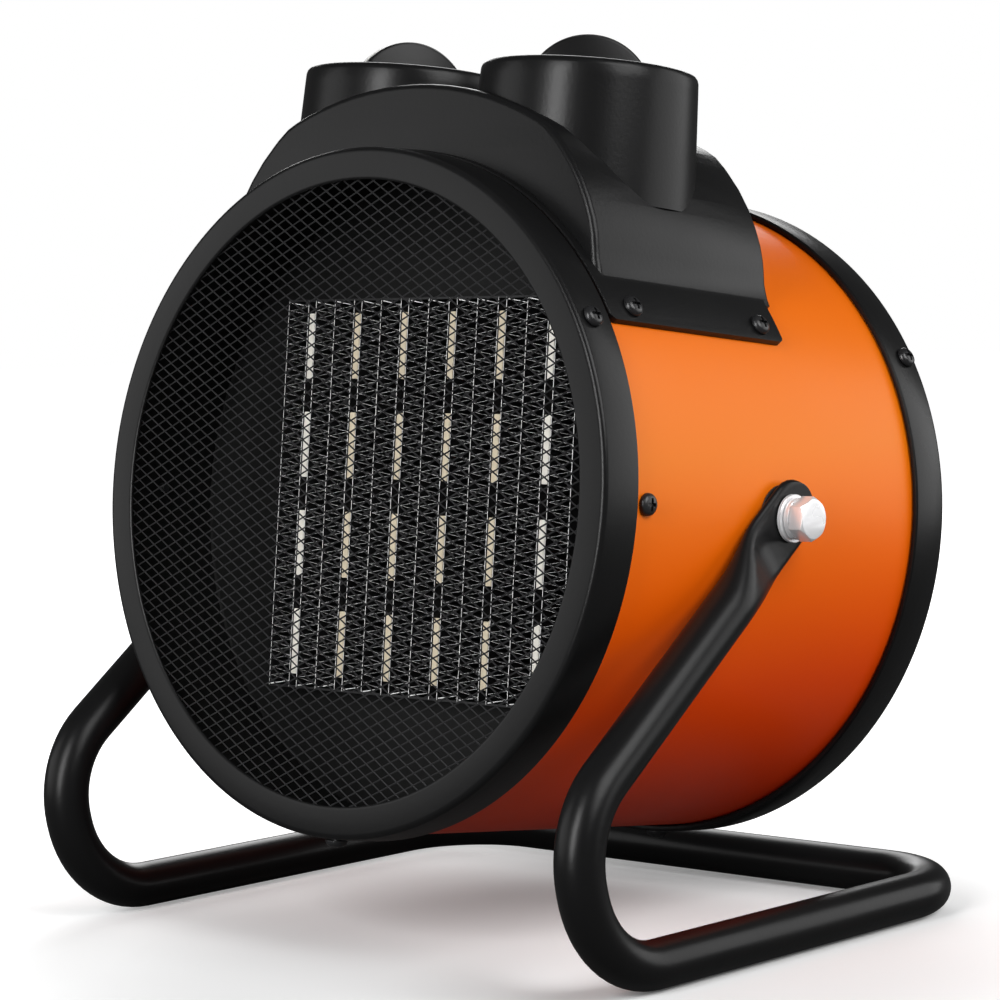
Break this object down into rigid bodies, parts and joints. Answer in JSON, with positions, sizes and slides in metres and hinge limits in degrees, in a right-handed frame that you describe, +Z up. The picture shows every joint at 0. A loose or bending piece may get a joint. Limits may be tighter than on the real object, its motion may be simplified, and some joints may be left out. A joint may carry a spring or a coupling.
{
  "type": "forced air heater",
  "caption": "Drum-shaped electric fan heater with ceramic heating block behind a net, two rotary controls on top, tilting on a bent tube floor stand.",
  "frame": {"origin": "centre of the bounding box in plan, on the floor under the stand", "axes": "+Z up, the net faces -Y and slightly up, +X to the right seen from the front; the drum is stored tilted as pictured"},
  "size_m": [0.2562, 0.2234, 0.3083],
  "materials": {
    "orange_paint": "satin powder coat",
    "black_paint": "satin powder coat",
    "black_net": "satin powder coat on expanded sheet",
    "black_plastic": "fine satin moulding",
    "dial_plastic": "matte disc with printed marks",
    "knob_plastic": "satin moulding",
    "pale_plastic": "plain insulating moulding",
    "galvanised": "zinc-coated sheet",
    "zinc": "bright zinc",
    "dark_zinc": "blackened",
    "nylon": "plain",
    "aluminium": "mill finish",
    "ceramic": "unglazed ceramic heating stones",
    "steel": "plain steel",
    "fan_steel": "pressed aluminium",
    "gland_plastic": "plain black"
  },
  "bodies": {
    "stand": {"stand_tube": "black_paint"},
    "heater": {"baffle_plate": "black_paint", "baffle_screw_1": "dark_zinc", "baffle_screw_2": "dark_zinc", "bezel_screw_1": "dark_zinc", "bezel_screw_2": "dark_zinc", "bezel_screw_3": "dark_zinc", "cable_gland": "gland_plastic", "control_housing": "black_plastic", "drum_shell": "orange_paint", "front_bezel": "black_paint", "front_net": "black_net", "housing_screw_1": "dark_zinc", "housing_screw_2": "dark_zinc", "housing_screw_3": "dark_zinc", "housing_screw_4": "dark_zinc", "mode_dial": "dial_plastic", "mode_nut": "zinc", "mode_switch": "pale_plastic", "motor_bearing_front": "steel", "motor_bearing_rear": "steel", "motor_bracket": "galvanised", "motor_front_cap": "galvanised", "motor_rear_cap": "galvanised", "motor_stator": "steel", "pivot_bolt_left": "zinc", "pivot_bolt_right": "zinc", "pivot_nut_plate_left": "galvanised", "pivot_nut_plate_right": "galvanised", "pivot_spacer_left": "nylon", "pivot_spacer_right": "nylon", "pivot_spring_washer_left": "zinc", "pivot_spring_washer_right": "zinc", "pivot_washer_left": "zinc", "pivot_washer_right": "zinc", "ptc_clamp_lower": "galvanised", "ptc_clamp_upper": "galvanised", "ptc_fin_pack": "aluminium", "ptc_strip_1": "ceramic", "ptc_strip_2": "ceramic", "ptc_strip_3": "ceramic", "ptc_strip_4": "ceramic", "ptc_strip_5": "ceramic", "ptc_strip_6": "ceramic", "rear_guard": "black_paint", "rear_ring": "black_paint", "rear_screw_1": "dark_zinc", "rear_screw_2": "dark_zinc", "rear_screw_3": "dark_zinc", "terminal_block": "pale_plastic", "thermal_cutout": "pale_plastic", "thermostat": "pale_plastic", "thermostat_dial": "dial_plastic", "thermostat_nut": "zinc"},
    "fan": {"fan_wheel": "fan_steel", "motor_rotor": "steel"},
    "mode_control": {"mode_knob": "knob_plastic", "mode_spindle": "steel"},
    "thermostat_control": {"thermostat_knob": "knob_plastic", "thermostat_spindle": "steel"}
  },
  "joints": [
    {"name": "drum_tilt", "type": "hinge", "parent": "stand", "child": "heater", "pos_m": [0, 0.00763, 0.1431], "axis": [-1, 0, 0], "range_deg": [-6, 15]},
    {"name": "fan_spin", "type": "hinge", "parent": "heater", "child": "fan", "pos_m": [0, 0.03857, 0.14082], "axis": [0, 0.9937, -0.1122], "continuous": true},
    {"name": "mode_turn", "type": "hinge", "parent": "heater", "child": "mode_control", "pos_m": [-0.0368, -0.00504, 0.29647], "axis": [-0.0349, -0.1121, -0.9931], "range_deg": [0, 120]},
    {"name": "thermostat_turn", "type": "hinge", "parent": "heater", "child": "thermostat_control", "pos_m": [0.04715, -0.00537, 0.29355], "axis": [-0.0349, -0.1121, -0.9931], "range_deg": [0, 270]}
  ]
}
